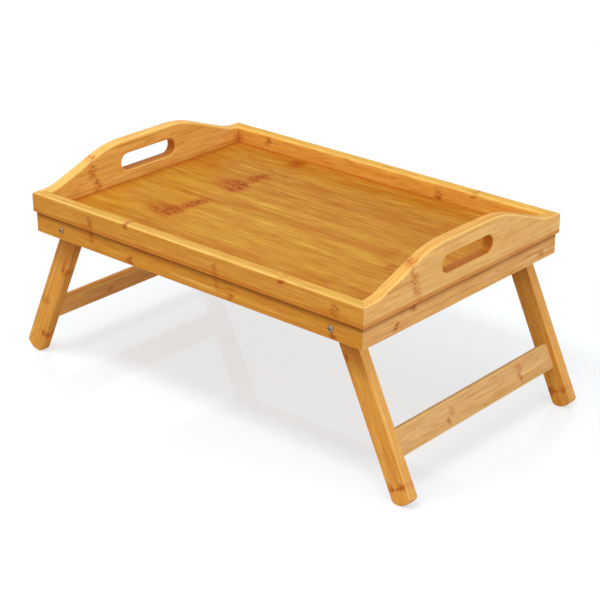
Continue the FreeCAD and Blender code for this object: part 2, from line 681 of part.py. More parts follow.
def pivot_bolt(label, end, side):
    """Pan-head bolt with a cross recess; its head bears on the apron's outer face."""
    body = hardware_body(label, end, side, "0")
    section = new_sketch(body, "HalfSection", "YZ_Plane")
    head_radius = "Sizes.bolt_head_diameter / 2"
    shank_radius = "Sizes.bolt_diameter / 2"
    dome = "(Sizes.bolt_head_height - Sizes.bolt_head_rim)"
    dome_radius = f"(({head_radius}) * ({head_radius}) + {dome} * {dome}) / (2 * {dome})"
    dome_angle = f"(asin({head_radius} / ({dome_radius})) / 1 deg)"
    crown = ("-1 * Sizes.bolt_head_height", "0")
    corners = [
        ("-1 * Sizes.bolt_head_rim", head_radius),
        ("0", head_radius),
        ("0", shank_radius),
        (f"{BOLT_LENGTH} - Sizes.bolt_tip_chamfer", shank_radius),
        (BOLT_LENGTH, f"{shank_radius} - Sizes.bolt_tip_chamfer"),
        (BOLT_LENGTH, "0"),
        crown,
    ]
    sides = [line(section, start, stop) for start, stop in zip(corners, corners[1:])]
    for first, second in zip(sides, sides[1:]):
        join(section, "Coincident", first, 2, second, 1)
    for number, (across, up) in zip(sides, corners):
        pin(section, number, 1, across, up)
    pin(section, sides[-1], 2, *crown)
    dome_centre = (f"{dome_radius} - Sizes.bolt_head_height", "0")
    cap = arc(section, dome_centre, dome_radius, f"180 - {dome_angle}", "180")
    join(section, "Coincident", cap, 1, sides[0], 1)
    join(section, "Coincident", cap, 2, sides[-1], 2)
    bind(section, Sketcher.Constraint("DistanceY", -1, 1, cap, 3, 0), "0")
    revolve(body, section)
    recess = new_sketch(body, "CrossRecess", "XZ_Plane", "Sizes.bolt_head_height")
    far = "Sizes.recess_length / 2"
    near = "Sizes.recess_width / 2"
    quarter = [(far, near), (near, near), (near, far)]
    outline = []
    for sign_x, sign_z in ((1, 1), (-1, 1), (-1, -1), (1, -1)):
        points = [(f"{sign_x} * {across}", f"{sign_z} * {up}") for across, up in quarter]
        outline += points if sign_x == sign_z else points[::-1]
    polygon(recess, outline)
    pocket(body, recess, "Sizes.recess_depth")


def washer(label, end, side, depth):
    body = hardware_body(label, end, side, depth)
    rings = new_sketch(body, "Rings", "XZ_Plane")
    circle(rings, "0", "0", "Sizes.washer_diameter")
    circle(rings, "0", "0", BORE)
    pad(body, rings, "Sizes.washer_thickness", reverse=True)


def lock_nut(label, end, side):
    """Hexagon nut with a round locking collar on its inner face."""
    body = hardware_body(label, end, side, NUT_DEPTH)
    corner = "(Sizes.nut_flats / 2 / cos(30))"
    hexagon = new_sketch(body, "Hexagon", "XZ_Plane")
    polygon(hexagon, [
        (f"{corner} * cos({angle})", f"{corner} * sin({angle})") for angle in range(0, 360, 60)
    ])
    pad(body, hexagon, "Sizes.nut_height", reverse=True)
    trim = new_sketch(body, "CornerTrim", "YZ_Plane")
    flat = "Sizes.nut_flats / 2"
    drop = f"({corner} - {flat}) * tan(Sizes.nut_chamfer_angle)"
    polygon(trim, [
        ("Sizes.nut_height", flat),
        (f"Sizes.nut_height - {drop}", corner),
        ("Sizes.nut_height", corner),
    ])
    before = body.Shape.Volume
    groove = body.newObject("PartDesign::Groove", "Trimmed")
    groove.Profile = trim
    groove.ReferenceAxis = (trim, ["H_Axis"])
    groove.Angle = 360
    doc.recompute()
    if body.Shape.Volume > before - NEAR:
        raise RuntimeError(f"{groove.Name} in {body.Label} takes nothing away")
    collar = new_sketch(body, "Collar", "XZ_Plane", "-1 * Sizes.nut_height")
    circle(collar, "0", "0", "Sizes.collar_diameter")
    pad(body, collar, "Sizes.collar_height", reverse=True)
    bore = new_sketch(body, "Bore", "XZ_Plane")
    circle(bore, "0", "0", BORE)
    pocket(body, bore, symmetric=True)


# ---------------------------------------------------------------- assembly

long_rail("front_rail", "0")
long_rail("back_rail", "180")
handle_board("right_handle_board", "0")
handle_board("left_handle_board", "180")
tray_panel("tray_panel")
long_apron("front_apron", "0")
long_apron("back_apron", "180")
end_apron("right_apron", "0")
end_apron("left_apron", "180")
corner_keys("rail_corner_keys", UPPER)
corner_keys("apron_corner_keys", LOWER)
frame_dowels("frame_dowels")

for end_name, end in (("left", -1), ("right", 1)):
    stretcher(f"{end_name}_stretcher", end)
    stretcher_dowels(f"{end_name}_stretcher_dowels", end)
    for side_name, side in (("front", -1), ("back", 1)):
        place = f"{side_name}_{end_name}"
        leg(f"{place}_leg", end, side)
        pivot_bolt(f"{place}_pivot_bolt", end, side)
        washer(f"{place}_spacer_washer", end, side, SPACER_DEPTH)
        washer(f"{place}_inner_washer", end, side, INNER_WASHER_DEPTH)
        lock_nut(f"{place}_lock_nut", end, side)

# ---------------------------------------------------------------- checks and files

doc.recompute()
for item in doc.Objects:
    if "Invalid" in item.State or "Error" in item.State:
        raise RuntimeError(f"{item.Label} failed: {item.State}")
for body in sub_parts:
    if body.Shape.isNull() or not body.Shape.isValid():
        raise RuntimeError(f"{body.Label} has no sound shape")

os.makedirs("parts", exist_ok=True)
for body in sub_parts:
    body.Shape.exportStep(f"parts/{body.Label}.step")
    box = body.Shape.BoundBox
    print(
        f"{body.Label:28s} solids {len(body.Shape.Solids):2d}  volume {body.Shape.Volume:10.1f}"
        f"  x {box.XMin:7.2f} {box.XMax:7.2f}  y {box.YMin:7.2f} {box.YMax:7.2f}"
        f"  z {box.ZMin:7.2f} {box.ZMax:7.2f}"
    )
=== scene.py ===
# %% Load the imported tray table
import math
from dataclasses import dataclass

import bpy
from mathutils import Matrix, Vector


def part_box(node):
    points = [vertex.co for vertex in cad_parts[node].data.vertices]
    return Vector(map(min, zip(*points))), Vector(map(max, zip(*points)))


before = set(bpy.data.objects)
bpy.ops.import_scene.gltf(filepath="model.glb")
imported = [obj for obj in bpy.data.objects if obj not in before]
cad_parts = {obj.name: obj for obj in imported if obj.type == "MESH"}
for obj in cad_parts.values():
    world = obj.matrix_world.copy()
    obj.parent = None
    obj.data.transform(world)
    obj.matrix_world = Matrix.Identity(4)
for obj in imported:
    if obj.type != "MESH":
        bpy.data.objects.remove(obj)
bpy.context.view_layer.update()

# %% [markdown]
# # A bamboo bed tray table
# The model arrives as 36 finished pieces: rails, handle boards, panel, aprons, legs, stretchers and
# the pivot hardware. Their shapes are right already, so this lesson is about what makes them look
# like the real thing: carbonised bamboo under a satin lacquer, nickel screws, and soft studio light.

MM = 0.001

# %% [markdown]
# ## The camera
# The photograph looks down on the near corner of the tray through a long lens, from the front
# right. A camera is easiest to place by what it looks at: the direction is given as an azimuth
# (turned from the front towards the right) and an elevation, then the camera steps back along it.

# %% Camera at the photograph's viewing angle
CAMERA_AZIMUTH = math.radians(41.33)
CAMERA_ELEVATION = math.radians(23.97)
CAMERA_DISTANCE = 1.904
CAMERA_TARGET = Vector((85.8, -84.0, 152.2)) * MM
LENS = 103.77
SENSOR = 36.0

back = Vector((
    math.sin(CAMERA_AZIMUTH) * math.cos(CAMERA_ELEVATION),
    -math.cos(CAMERA_AZIMUTH) * math.cos(CAMERA_ELEVATION),
    math.sin(CAMERA_ELEVATION),
))
camera = bpy.data.objects.new("camera", bpy.data.cameras.new("camera"))
bpy.context.scene.collection.objects.link(camera)
camera.data.lens = LENS
camera.data.sensor_width = SENSOR
camera.location = CAMERA_TARGET + back * CAMERA_DISTANCE
camera.rotation_euler = back.to_track_quat("Z", "Y").to_euler()
bpy.context.scene.camera = camera
print("camera stands at", [round(value, 3) for value in camera.location])

# %% [markdown]
# ## Colours as on a paint chart
# Colours are written as sRGB in hex, the way a paint chart gives them. Blender mixes linear light,
# so each one is turned into linear values where it is used.

# %% Colours
def paint(hex_code):
    """Linear RGBA from an sRGB hex code such as C8832F."""
    levels = [int(hex_code[start:start + 2], 16) / 255 for start in (0, 2, 4)]
    linear = [
        level / 12.92 if level <= 0.04045 else ((level + 0.055) / 1.055) ** 2.4
        for level in levels
    ]
    return (*linear, 1.0)


print("C8832F in linear light is", [round(level, 3) for level in paint("C8832F")[:3]])

# %% [markdown]
# ## Nodes from code
# A material is a tree of nodes. In the editor one drags them in and joins their dots. In code two
# helpers do it: one sets or links a node's inputs, the other adds a node and fills it in one call.

# %% Adding and filling nodes
def fill(tree, node, inputs):
    """Set or link a node's inputs, given by name or number."""
    for key, value in inputs.items():
        if isinstance(value, bpy.types.NodeSocket):
            tree.links.new(value, node.inputs[key])
        else:
            node.inputs[key].default_value = value
    return node


def add(tree, kind, inputs=None, **settings):
    """Add a shader node of a kind and fill its inputs."""
    node = tree.nodes.new("ShaderNode" + kind)
    for name, value in settings.items():
        setattr(node, name, value)
    return fill(tree, node, inputs or {})


print("helpers ready:", fill.__name__, "and", add.__name__)

# %% [markdown]
# ## Arithmetic on masks
# A mask is a number between 0 and 1 that says how strongly an effect shows at a point. Masks are
# multiplied, compared and faded with Math and Map Range nodes. These wrap the ones used most.

# %% Math nodes
def math_of(tree, operation, first, second=0.0):
    """One Math node, as an output socket."""
    return add(tree, "Math", {0: first, 1: second}, operation=operation).outputs[0]


def product(tree, first, second):
    """first x second."""
    return math_of(tree, "MULTIPLY", first, second)


def product_plus(tree, first, second, rest):
    """first x second + rest."""
    return add(tree, "Math", {0: first, 1: second, 2: rest}, operation="MULTIPLY_ADD").outputs[0]


def difference(tree, first, second):
    """first - second."""
    return math_of(tree, "SUBTRACT", first, second)


def length_of(tree, first, second):
    """Long side of a right-angled triangle, from its two short sides."""
    squares = math_of(tree, "ADD", product(tree, first, first), product(tree, second, second))
    return math_of(tree, "SQRT", squares)


def faded(tree, value, start, end, low=0.0, high=1.0):
    """Smooth step from low to high as value goes from start to end."""
    return add(
        tree, "MapRange", {"Value": value, 1: start, 2: end, 3: low, 4: high},
        interpolation_type="SMOOTHSTEP",
    ).outputs[0]


print("mask helpers ready")

# %% [markdown]
# ## Vectors and mixing
# Places and normals are vectors: their parts are taken out along X, Y and Z, with or without their
# signs. A tint lays one colour over another where a mask says so.

# %% Vector and mix nodes
def parts_of(tree, vector):
    """The X, Y and Z parts of a vector."""
    return add(tree, "SeparateXYZ", {0: vector}).outputs


def unsigned(tree, vector):
    """The X, Y and Z parts of a vector, without their signs."""
    return parts_of(tree, add(tree, "VectorMath", {0: vector}, operation="ABSOLUTE").outputs[0])


def blend(tree, factor, below, above):
    """Mix two colours."""
    return add(
        tree, "Mix", {0: factor, 6: below, 7: above},
        data_type="RGBA", blend_type="MIX", clamp_factor=True,
    ).outputs[2]


def blend_value(tree, factor, below, above):
    """Mix two numbers."""
    return add(tree, "Mix", {0: factor, 2: below, 3: above}, data_type="FLOAT").outputs[0]


def tint(tree, colour, mask, strength, hex_code):
    """Lay a paint over a colour where a mask says so."""
    return blend(tree, product(tree, mask, strength), colour, paint(hex_code))


print("vector and mix helpers ready")

# %% [markdown]
# ## Streaks
# Everything in wood is stretched along the grain. A noise does the same when its coordinates are
# scaled more across the grain than along it, and a fade turns its soft hills into streaks with
# clear ends. The numbers of one kind of streak are kept together, so that each gets a name.

# %% Streaks from stretched noise
@dataclass(frozen=True)
class Streaks:
    """Noise with so many waves a metre along and across the grain, faded from start to end."""
    along: float
    across: float
    detail: float
    start: float
    end: float
    roughness: float = 0.5
    low: float = 0.0


def noise(tree, vector, along, across, detail, roughness=0.5):
    """Noise with about so many waves a metre: along in X, across in Y and Z."""
    place = add(
        tree, "VectorMath", {0: vector, 1: (along, across, across)}, operation="MULTIPLY",
    ).outputs[0]
    return add(tree, "TexNoise", {
        "Vector": place, "Scale": 1.0, "Detail": detail, "Roughness": roughness,
    }).outputs[0]


def draw(tree, grain, streaks):
    """Mask of one kind of streak."""
    level = noise(
        tree, grain, streaks.along, streaks.across, streaks.detail, streaks.roughness,
    )
    return faded(tree, level, streaks.start, streaks.end, streaks.low)


print("a streak has", len(Streaks.__dataclass_fields__), "numbers")

# %% [markdown]
# ## Groups
# An effect that several materials share is a node group: built once, with named inputs and outputs,
# and placed in each material with its own values.

# %% Making and placing groups
def new_group(name, sockets_in, sockets_out):
    """Empty node group; sockets are (name, kind, default) going in and (name, kind) coming out."""
    tree = bpy.data.node_groups.new(name, "ShaderNodeTree")
    for label, kind, default in sockets_in:
        socket = tree.interface.new_socket(
            label, in_out="INPUT", socket_type="NodeSocket" + kind,
        )
        if default is not None:
            socket.default_value = default
    for label, kind in sockets_out:
        tree.interface.new_socket(label, in_out="OUTPUT", socket_type="NodeSocket" + kind)
    given = tree.nodes.new("NodeGroupInput").outputs
    result = tree.nodes.new("NodeGroupOutput").inputs
    return tree, given, result


def use_group(tree, group, inputs):
    """Place a node group in a tree and fill its inputs."""
    return fill(tree, add(tree, "Group", node_tree=group), inputs).outputs


print("group helpers ready")

# %% [markdown]
# ## Bamboo, part one: strips and fibres
# A bamboo board is glued up from narrow strips split out of the cane. Each strip has its own tone,
# soft clouds run along it, and all of it carries fine dark fibres, short dark dashes and a few pale
# gleams. A picture of bamboo would show its seams on every cut side. Coordinates don't: with X along
# the grain, a stretched noise draws fibres through the whole board, and the whole-number part of Y
# divided by the strip's width says which strip a point is on.
#
# This group takes such grain coordinates in metres and puts out masks only, so that each board can
# choose its own colours.

# %% Kinds of streak in the strips
CLOUD = Streaks(along=11.0, across=60.0, detail=2.0, start=0.32, end=0.68)
BLOTCH = Streaks(along=26.0, across=170.0, detail=2.0, start=0.34, end=0.66, roughness=0.6)
GRAIN = Streaks(along=26.0, across=420.0, detail=3.0, start=0.34, end=0.66, roughness=0.65)
HAIR = Streaks(along=32.0, across=1300.0, detail=2.0, start=0.36, end=0.66)
DASH = Streaks(along=42.0, across=560.0, detail=2.0, start=0.58, end=0.70)
LINE = Streaks(along=6.0, across=800.0, detail=1.0, start=0.58, end=0.70)
LINE_PATCH = Streaks(along=9.0, across=70.0, detail=1.0, start=0.42, end=0.62, low=0.15)
GLEAM = Streaks(along=8.0, across=280.0, detail=2.0, start=0.60, end=0.74)

STRIP_SHARE, CLOUD_SHARE, BLOTCH_SHARE = 0.42, 0.30, 0.28
GRAIN_SHARE, HAIR_SHARE = 0.6, 0.4
LAYER_STEP = 17.0
STRIP_SHIFT = 0.37
SEAM_START = 0.47
print("a strip's tone is", STRIP_SHARE, "its own,", CLOUD_SHARE, "cloud and", BLOTCH_SHARE, "blotch")

# %% Strip and fibre group
def make_strip_group():
    tree, given, result = new_group(
        "bamboo_strips",
        [
            ("Grain", "Vector", None),
            ("Strip Width", "Float", 0.02),
            ("Layer Depth", "Float", 0.02),
            ("Seed", "Float", 0.0),
        ],
        [
            ("Tone", "Float"), ("Fibre", "Float"), ("Dash", "Float"),
            ("Line", "Float"), ("Gleam", "Float"), ("Seam", "Float"),
        ],
    )
    _, level, depth = parts_of(tree, given["Grain"])
    across = math_of(tree, "DIVIDE", level, given["Strip Width"])
    strip = math_of(tree, "FLOOR", across)
    layer = math_of(tree, "FLOOR", math_of(tree, "DIVIDE", depth, given["Layer Depth"]))
    number = math_of(tree, "ADD", product_plus(tree, layer, LAYER_STEP, strip), given["Seed"])
    chance = add(tree, "TexWhiteNoise", {"W": number}, noise_dimensions="1D").outputs[0]
    shift = add(tree, "CombineXYZ", {0: product(tree, number, STRIP_SHIFT), 1: given["Seed"]})
    grain = add(
        tree, "VectorMath", {0: given["Grain"], 1: shift.outputs[0]}, operation="ADD",
    ).outputs[0]

    clouds = product(tree, draw(tree, grain, CLOUD), CLOUD_SHARE)
    tone = product_plus(tree, chance, STRIP_SHARE, clouds)
    tone = product_plus(tree, draw(tree, grain, BLOTCH), BLOTCH_SHARE, tone)
    hairs = product(tree, draw(tree, grain, HAIR), HAIR_SHARE)
    fibre = product_plus(tree, draw(tree, grain, GRAIN), GRAIN_SHARE, hairs)
    lines = product(tree, draw(tree, grain, LINE), draw(tree, grain, LINE_PATCH))
    middle = difference(tree, math_of(tree, "FRACT", across), 0.5)
    seam = faded(tree, math_of(tree, "ABSOLUTE", middle), SEAM_START, 0.5)
    for mask, label in (
        (tone, "Tone"), (fibre, "Fibre"), (draw(tree, grain, DASH), "Dash"),
        (lines, "Line"), (draw(tree, grain, GLEAM), "Gleam"), (seam, "Seam"),
    ):
        tree.links.new(mask, result[label])
    return tree


strips = make_strip_group()
print("group", strips.name, "has", len(strips.nodes), "nodes")

# %% [markdown]
# ## Bamboo, part two: the nodes of the cane
# Every 20 to 30 cm the cane has a joint. Where a strip crosses one, the fibres knot: a reddish
# smudge that fades along the grain, longer on one side, with darker flecks in its middle. Painting
# them by hand would fix them to one face, so the group draws one such mark around a given centre,
# right through the wood. A material uses it once for each mark that shows.

# %% Node mark group
# The ragged edge is plain noise: waves a metre along and across, detail and roughness.
RAGGED_EDGE = (16.0, 240.0, 3.0, 0.6)
RAGGED_REACH = 3.0
END_POWER, SIDE_POWER = 1.5, 3.0
SMUDGE_END = 1.3
CORE_START, CORE_END = 0.05, 0.80
SMUDGE_STREAKS = Streaks(along=22.0, across=330.0, detail=2.0, start=0.36, end=0.62, low=0.45)
FLECK_STREAKS = Streaks(along=200.0, across=400.0, detail=2.0, start=0.46, end=0.56)


def make_mark_group():
    tree, given, result = new_group(
        "cane_mark",
        [
            ("Grain", "Vector", None),
            ("Centre", "Vector", (0.0, 0.0, 0.0)),
            ("Half Length", "Float", 0.014),
            ("Half Width", "Float", 0.03),
            ("Tail", "Float", 1.0),
            ("Lean", "Float", 0.0),
        ],
        [("Smudge", "Float"), ("Fleck", "Float")],
    )
    offset = add(
        tree, "VectorMath", {0: given["Grain"], 1: given["Centre"]}, operation="SUBTRACT",
    ).outputs[0]
    along, across, _ = parts_of(tree, offset)
    ragged = difference(tree, noise(tree, given["Grain"], *RAGGED_EDGE), 0.5)
    reach = product(tree, given["Half Length"], RAGGED_REACH)
    moved = product_plus(
        tree, ragged, reach, product_plus(tree, across, given["Lean"], along),
    )
    ahead = math_of(tree, "MAXIMUM", moved, 0.0)
    behind = math_of(tree, "MAXIMUM", product(tree, moved, -1.0), 0.0)
    length = math_of(tree, "ADD", ahead, math_of(tree, "DIVIDE", behind, given["Tail"]))
    length = math_of(tree, "DIVIDE", length, given["Half Length"])
    width = math_of(tree, "DIVIDE", math_of(tree, "ABSOLUTE", across), given["Half Width"])
    distance = math_of(
        tree, "ADD",
        math_of(tree, "POWER", length, END_POWER), math_of(tree, "POWER", width, SIDE_POWER),
    )
    smudge = product(
        tree, faded(tree, distance, 0.0, SMUDGE_END, 1.0, 0.0),
        draw(tree, given["Grain"], SMUDGE_STREAKS),
    )
    fleck = product(
        tree, faded(tree, distance, CORE_START, CORE_END, 1.0, 0.0),
        draw(tree, given["Grain"], FLECK_STREAKS),
    )
    tree.links.new(smudge, result["Smudge"])
    tree.links.new(fleck, result["Fleck"])
    return tree


cane_mark = make_mark_group()
print("group", cane_mark.name, "has", len(cane_mark.nodes), "nodes")

# %% [markdown]
# ## Bamboo, part three: wear and painted highlight on the edges
# The rounded edges are paler than the faces: partly worn, as if rubbed, and partly a painted
# highlight where they would catch the light. Painted wear would have to be painted again for every
# edge. But how round the surface is at a point shows in its
# normal: on a flat face one part is 1, on a rounding none is. The normal is turned with the grain
# first, so that it works for the leaning legs too.

# %% Edge group
# The mask marks rounded edges for wear and for a painted highlight alike.
ROUND_LIMIT, FLAT_LIMIT = 0.72, 0.97
WORN_AND_LIT_STREAKS = Streaks(along=40.0, across=120.0, detail=3.0, start=0.30, end=0.60, low=0.55)


def make_edge_group():
    tree, given, result = new_group(
        "edge_wear_and_highlight",
        [("Normal", "Vector", (0.0, 0.0, 1.0)), ("Grain", "Vector", None)],
        [("Wear and Highlight", "Float")],
    )
    along, across, through = unsigned(tree, given["Normal"])
    flatness = math_of(tree, "MAXIMUM", math_of(tree, "MAXIMUM", along, across), through)
    rounding = faded(tree, flatness, ROUND_LIMIT, FLAT_LIMIT, 1.0, 0.0)
    wear_and_highlight_mask = product(tree, rounding, draw(tree, given["Grain"], WORN_AND_LIT_STREAKS))
    tree.links.new(wear_and_highlight_mask, result["Wear and Highlight"])
    return tree


edge_wear_and_highlight = make_edge_group()
print("group", edge_wear_and_highlight.name, "has", len(edge_wear_and_highlight.nodes), "nodes")

# %% [markdown]
# ## Bamboo, part four: places on the tray
# The colour is deeper in corners and under the rails, which is painted shade, the rails' tops and the
# frame's outer corners carry a painted highlight, and a dark glue line shows in the mitres. Such
# places are the tray's own, and no strip pattern knows of them. So their masks come straight from the
# object's coordinates and from the boxes of the finished pieces.

# %% Measures of the tray
RAIL_THICKNESS = 15.0 * MM
rail_low, rail_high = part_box("front_rail")
board_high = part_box("right_handle_board")[1]
apron_low, apron_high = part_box("front_apron")
end_apron_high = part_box("right_apron")[1]
panel_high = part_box("tray_panel")[1]

TRAY_HALF = (board_high.x, -rail_low.y)
APRON_HALF = (end_apron_high.x, -apron_low.y)
WELL_HALF = tuple(half - RAIL_THICKNESS for half in TRAY_HALF)
print("the well is", [round(2 * half, 4) for half in WELL_HALF], "m")

# %% [markdown]
# ## The frame's corners and its overhang
# A mitre runs where a point is as far from the tray's end as from its side, so the difference of
# the two distances draws its dark glue line at any corner. The upper rails stand out a little over
# the aprons, and the aprons look darkest in the angle under them: that dark band is painted shade.

# %% Mitres, overhang and crest
MITRE_LINE = 0.35 * MM
MITRE_CORE = 0.2 * MITRE_LINE
# A painted highlight runs down the frame's outer corners.
CORNER_LINE = 1.3 * MM
CORNER_CORE = 0.4 * CORNER_LINE
OVERHANG_SHADE, OVERHANG_CORE = 9.0 * MM, 0.3 * MM
# Painted highlight along the outer half of the long rails' tops.
CREST_INNER, CREST_OUTER = 9.5 * MM, 3.0 * MM
CREST_HIGHLIGHT = 0.14


def inside_of(tree, place, half):
    """How far a point lies inside the ends and the sides of a frame."""
    along, across, _ = unsigned(tree, place)
    return difference(tree, half[0], along), difference(tree, half[1], across)


def mitre_masks(tree, place, half):
    """Mask of a mitre's glue line, and of the painted highlight down the frame's outer corners."""
    from_end, from_side = inside_of(tree, place, half)
    apart = math_of(tree, "ABSOLUTE", difference(tree, from_end, from_side))
    glue = faded(tree, apart, MITRE_CORE, MITRE_LINE, 1.0, 0.0)
    outermost = math_of(tree, "MAXIMUM", from_end, from_side)
    corner = faded(tree, outermost, CORNER_CORE, CORNER_LINE, 1.0, 0.0)
    return glue, corner


def overhang_shade_mask(tree, place):
    """Mask of the painted shade on the upper part of an apron, darkest right under the rail."""
    height = parts_of(tree, place)[2]
    return faded(tree, height, apron_high.z - OVERHANG_SHADE, apron_high.z - OVERHANG_CORE)


def crest_highlight_mask(tree, place):
    """Mask of the painted highlight on the outer half of a long rail's top."""
    side = unsigned(tree, place)[1]
    return faded(
        tree, side, TRAY_HALF[1] - CREST_INNER, TRAY_HALF[1] - CREST_OUTER, 0.0, CREST_HIGHLIGHT,
    )


print("aprons end at", round(apron_high.z, 4), "m")

# %% [markdown]
# ## The slots and the well
# The walls of the finger slots are warmer and deeper than the boards' faces: partly the cut wood
# taking the finish deeper, partly painted shade in the recess. A slot is two
# half circles joined by straights: the distance from its middle line says how near a point is to
# the wall. In the well the colour is deeper in the four corners and along the panel's margin, which
# is painted shade.

# %% Finger slots and the well's corners
SLOT_HALF = (45.0 * MM, 10.25 * MM)
SLOT_RISE = 27.75 * MM
SLOT_WALL_START, SLOT_WALL_END = 0.2 * MM, 1.2 * MM
# Painted shade in the well's corners and along the panel's margin reaches this far.
CORNER_SHADE = 13.0 * MM
CORNER_SHADE_STOP = 1.0 * MM
MARGIN = 14.0 * MM
PANEL_SKIN_START, PANEL_SKIN_END = 0.2 * MM, 1.5 * MM


def slot_mask(tree, place):
    """Mask of the finger slot's inner walls."""
    _, across, height = unsigned(tree, place)
    along = math_of(
        tree, "MAXIMUM", difference(tree, across, SLOT_HALF[0] - SLOT_HALF[1]), 0.0,
    )
    rise = difference(tree, height, rail_low.z + SLOT_RISE)
    apart = length_of(tree, along, rise)
    start, end = SLOT_HALF[1] + SLOT_WALL_START, SLOT_HALF[1] + SLOT_WALL_END
    return faded(tree, apart, start, end, 1.0, 0.0)


def well_shade_mask(tree, place):
    """Mask of painted shade in the well's inner corners and on the panel's margin along the rails."""
    from_end, from_side = inside_of(tree, place, WELL_HALF)
    height = parts_of(tree, place)[2]
    corner = faded(tree, length_of(tree, from_end, from_side), 0.0, CORNER_SHADE, 1.0, 0.0)
    under_top = faded(
        tree, height, rail_high.z - CORNER_SHADE, rail_high.z - CORNER_SHADE_STOP, 1.0, 0.0,
    )
    margin = faded(tree, math_of(tree, "MINIMUM", from_end, from_side), 0.0, MARGIN, 1.0, 0.0)
    low = faded(
        tree, height, panel_high.z + PANEL_SKIN_START, panel_high.z + PANEL_SKIN_END, 1.0, 0.0,
    )
    return math_of(
        tree, "MAXIMUM", product(tree, corner, under_top), product(tree, margin, low),
    )


print("slots lie around", round(rail_low.z + SLOT_RISE, 4), "m")

# %% [markdown]
# ## Bamboo, part five: a description of each board
# The panel, rails, boards, legs and stretchers differ in grain direction, strip width, colour and
# marks. Each gets a short description, and one maker builds the material from it. Colours are sRGB
# in hex, and a mark's point is in millimetres.

# %% What describes a board
@dataclass(frozen=True)
class Mark:
    """One joint of the cane: where, how large, how lopsided and how strong."""
    point: tuple
    half_length: float
    half_width: float
    tail: float
    smudge: float
    fleck: float
    lean: float = 0.0


@dataclass(frozen=True)
class Look:
    """How one kind of board is cut, coloured and marked."""
    light: str
    deep: str
    turn: Matrix
    seed: float
    strip_width: float = 8 * MM
    layer_depth: float = 15 * MM
    top: str = ""
    fibre: str = "A8561A"
    gleam: str = "F0CE70"
    mark: str = "B0501A"
    fleck: str = "8A380C"
    contrast: float = 1.0
    lines: float = 0.35
    gleams: float = 0.42
    wear_with_highlight: float = 0.62
    marks: tuple = ()
    ring: tuple = ()
    places: tuple = ()


def grain_turn(along, across):
    """Rotation that brings the direction along onto X and the direction across onto Y."""
    first, second = Vector(along), Vector(across)
    return Matrix((first, second, first.cross(second)))


LYING_X = grain_turn((1, 0, 0), (0, 1, 0))
STANDING_X = grain_turn((1, 0, 0), (0, 0, 1))
STANDING_Y = grain_turn((0, 1, 0), (0, 0, 1))
print("a board is described by", len(Look.__dataclass_fields__), "values")

# %% [markdown]
# ## Bamboo, part six: layers of colour
# The colour is built up as a painter would: a base between a light and a deep tone, then gleams,
# fibres, dashes, lines, seams, worn edges with a painted highlight and end grain, each laid over the
# last through its mask.
# The tops of the handle boards rise in a curve. Strips counted by height would cross such a top as
# bands, so on it they keep the height of the rails.

# %% Base colour of a board
LINE_BROWN = "B05C22"
# The pale edge colour serves worn edges and painted highlights alike: on the roundings, on the rails'
# tops and down the outer corners.
HIGHLIGHT_AND_WEAR = "F2D27C"
END_GRAIN = "8A4A1C"
TOP_STRENGTH = 0.60
FIBRE_STRENGTH, DASH_STRENGTH, SEAM_STRENGTH = 0.34, 0.46, 0.22
END_STRENGTH = 0.60
END_START, END_FULL = 0.55, 0.90


def swept(tree, grain, upward):
    """Grain coordinates of a swept board: on its top, the strips stay at the rails' height."""
    along, level, depth = parts_of(tree, grain)
    level = blend_value(tree, upward, level, rail_high.z)
    return add(tree, "CombineXYZ", {0: along, 1: level, 2: depth}).outputs[0]


def base_colour(tree, look, wood, grain, facing, upward):
    """The board's own colour, with all that its strips carry."""
    colour = blend(tree, wood["Tone"], paint(look.light), paint(look.deep))
    # The tops are tinted: partly the tone of the grain cut there, partly painted light from above.
    if look.top:
        colour = tint(tree, colour, upward, TOP_STRENGTH, look.top)
    # Rounded edges: partly wear, partly a painted highlight.
    wear_and_highlight_mask = use_group(tree, edge_wear_and_highlight, {"Normal": facing, "Grain": grain})["Wear and Highlight"]
    end_grain = faded(tree, unsigned(tree, facing)[0], END_START, END_FULL)
    for mask, strength, hex_code in (
        (wood["Gleam"], look.gleams, look.gleam),
        (wood["Fibre"], FIBRE_STRENGTH * look.contrast, look.fibre),
        (wood["Dash"], DASH_STRENGTH * look.contrast, look.fibre),
        (wood["Line"], look.lines, LINE_BROWN),
        (wood["Seam"], SEAM_STRENGTH, look.fibre),
        (wear_and_highlight_mask, look.wear_with_highlight, HIGHLIGHT_AND_WEAR),
        (end_grain, END_STRENGTH, END_GRAIN),
    ):
        colour = tint(tree, colour, mask, strength, hex_code)
    return colour


print("lines are", LINE_BROWN, "worn edges", HIGHLIGHT_AND_WEAR, "and end grain", END_GRAIN)

# %% [markdown]
# ## Bamboo, part seven: marks and shaded places
# The cane's marks come next, in the order in which the board lists them. Their flecks are drawn as
# small pits, so they also lower the relief that the bump is made from.

# %% Marks of the cane
def lay_marks(tree, look, grain, colour, relief):
    """Draw every mark of a board."""
    for mark in look.marks:
        drawn = use_group(tree, cane_mark, {
            "Grain": grain,
            "Centre": look.turn @ (Vector(mark.point) * MM),
            "Half Length": mark.half_length * MM,
            "Half Width": mark.half_width * MM,
            "Tail": mark.tail,
            "Lean": mark.lean,
        })
        colour = tint(tree, colour, drawn["Smudge"], mark.smudge, look.mark)
        flecks = product(tree, drawn["Fleck"], mark.fleck)
        colour = blend(tree, flecks, colour, paint(look.fleck))
        relief = difference(tree, relief, flecks)
    return colour, relief


print("marks are drawn by the group", cane_mark.name)

# %% [markdown]
# ## Shaded places
# Last come the places on the tray. In the photograph the legs are darker under the tray and on
# their inner side, and paler on their outer side. These soft lamps show too little of that, so a
# part of it is laid into the colour. Where a face points is read from its turned normal.

